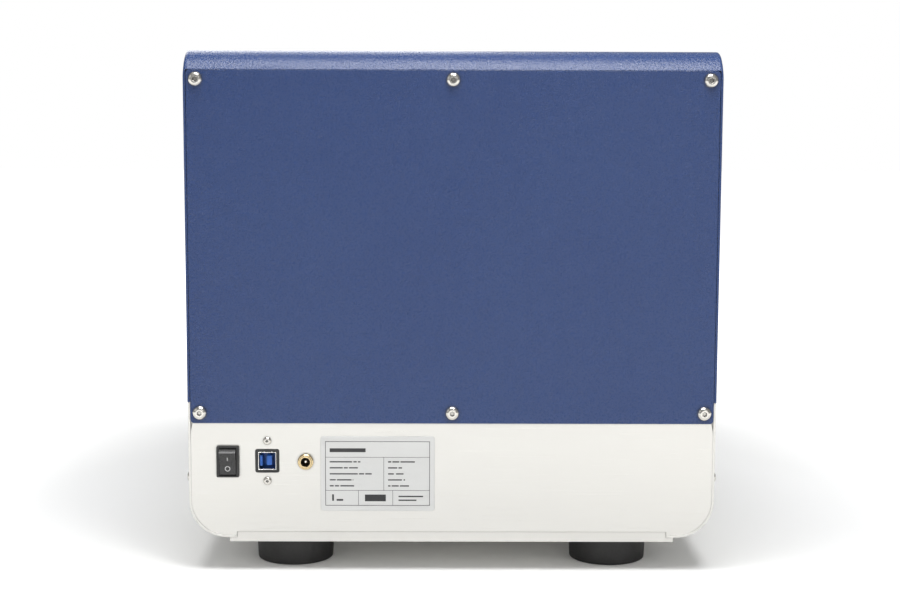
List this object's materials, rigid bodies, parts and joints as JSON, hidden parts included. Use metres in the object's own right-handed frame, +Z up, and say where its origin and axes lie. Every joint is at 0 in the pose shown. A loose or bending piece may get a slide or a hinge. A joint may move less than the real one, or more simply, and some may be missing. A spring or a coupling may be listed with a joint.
{
  "type": "automated cell counter",
  "caption": "Closed bench-top automated cell counter: blue sheet cover on a silver base, motor-driven plate drawer and microscope gantry inside, switch and sockets at the rear.",
  "frame": {"origin": "on the bench under the middle of the case, between the four feet", "axes": "+Z up; the plate drawer opens towards -Y; switch and sockets face +Y"},
  "size_m": [0.3564, 0.4066, 0.3473],
  "materials": {
    "blue_powder_coat": "fine-textured powder coat, satin",
    "silver_sheet": "brushed along the width, clear anodised",
    "machined_aluminium": "milled, clear anodised",
    "steel": "bright nickel-plated steel",
    "ground_steel": "ground",
    "motor_steel": "black-coated laminations",
    "black_rubber": "matt",
    "foam_rubber": "closed-cell foam",
    "label_film": "satin film",
    "black_plastic": "moulded",
    "black_gloss_plastic": "moulded, slightly glossy",
    "blue_plastic": "moulded",
    "plated_shell": "tin-plated",
    "brass": "bright",
    "board_laminate": "green solder mask",
    "lead_jacket": "soft jacket",
    "black_anodised": "black anodised",
    "white_diffuser": "opal",
    "chrome": "bright",
    "camera_paint": "black"
  },
  "bodies": {
    "case": {"base_plate": "silver_sheet", "base_side_left": "silver_sheet", "base_side_right": "silver_sheet", "base_rear_panel": "silver_sheet", "front_fascia": "silver_sheet", "clamp_bars": "machined_aluminium", "rubber_feet": "black_rubber", "foot_screws": "steel", "top_cover": "blue_powder_coat", "rear_cover_panel": "blue_powder_coat", "cover_screws": "steel", "clinch_nuts": "steel", "side_screws": "steel", "rating_label": "label_film", "switch_housing": "black_plastic", "usb_frame": "black_plastic", "usb_shell": "plated_shell", "usb_insert": "blue_plastic", "usb_screws": "steel", "dc_jack_body": "brass", "dc_jack_nut": "brass", "dc_jack_insulator": "black_plastic", "dc_jack_pin": "plated_shell", "circuit_boards": "board_laminate", "board_components": "black_plastic", "board_standoffs": "brass", "internal_leads": "lead_jacket", "riser_bars": "machined_aluminium", "guide_rails": "ground_steel", "stepper_motors": "motor_steel", "screw_mounts": "machined_aluminium", "gantry_frames": "machined_aluminium", "lamp_housing": "black_anodised", "lamp_diffuser": "white_diffuser"},
    "rocker": {"switch_rocker": "black_gloss_plastic"},
    "drawer": {"rail_blocks": "ground_steel", "plate_tray": "black_anodised", "drawer_front": "silver_sheet", "drawer_light_seal": "foam_rubber", "clamp_pin": "steel", "clamp_spring": "ground_steel", "drawer_nut": "brass"},
    "drawer_screw": {"drawer_screw": "ground_steel"},
    "clamp": {"plate_clamp": "machined_aluminium"},
    "bridge": {"bridge_beam": "machined_aluminium", "bridge_blocks": "ground_steel", "bridge_nut": "brass", "cross_rail": "ground_steel", "cross_motor": "motor_steel"},
    "bridge_screw": {"bridge_screw": "ground_steel"},
    "carriage": {"optics_carriage": "machined_aluminium", "cross_block": "ground_steel", "focus_motor": "motor_steel"},
    "cross_screw": {"cross_screw": "ground_steel"},
    "focus": {"focus_plate": "machined_aluminium", "filter_cube": "black_anodised", "led_module": "machined_aluminium", "objective": "chrome", "tube_lens": "black_anodised", "camera": "camera_paint"}
  },
  "joints": [
    {"name": "power_rocker_tip", "type": "hinge", "parent": "case", "child": "rocker", "pos_m": [0.1498, 0.1975, 0.0749], "axis": [1, 0, 0], "range_deg": [0, 24]},
    {"name": "drawer_slide", "type": "slide", "parent": "case", "child": "drawer", "axis": [0, -1, 0], "range_m": [0, 0.18]},
    {"name": "drawer_screw_spin", "type": "hinge", "parent": "case", "child": "drawer_screw", "pos_m": [0.061, -0.03, 0.0449], "axis": [0, 1, 0], "continuous": true},
    {"name": "plate_clamp_swing", "type": "hinge", "parent": "drawer", "child": "clamp", "pos_m": [0.0742, -0.098, 0.0637], "axis": [0, 0, -1], "range_deg": [0, 14], "stiffness_Nm_per_rad": 0.05, "springref_deg": -5.73},
    {"name": "bridge_slide", "type": "slide", "parent": "case", "child": "bridge", "axis": [0, 1, 0], "range_m": [-0.036, 0.036]},
    {"name": "bridge_screw_spin", "type": "hinge", "parent": "case", "child": "bridge_screw", "pos_m": [0.105, 0, 0.147], "axis": [0, 1, 0], "continuous": true},
    {"name": "cross_slide", "type": "slide", "parent": "bridge", "child": "carriage", "axis": [1, 0, 0], "range_m": [-0.054, 0.054]},
    {"name": "cross_screw_spin", "type": "hinge", "parent": "bridge", "child": "cross_screw", "pos_m": [0, -0.012, 0.22], "axis": [1, 0, 0], "continuous": true},
    {"name": "focus_slide", "type": "slide", "parent": "carriage", "child": "focus", "axis": [0, 0, 1], "range_m": [-0.004, 0.004]}
  ],
  "couplings": [
    {"joint": "drawer_screw_spin", "follows": "drawer_slide", "rad_per_m": 628.32},
    {"joint": "bridge_screw_spin", "follows": "bridge_slide", "rad_per_m": 1256.6},
    {"joint": "cross_screw_spin", "follows": "cross_slide", "rad_per_m": 1256.6}
  ]
}
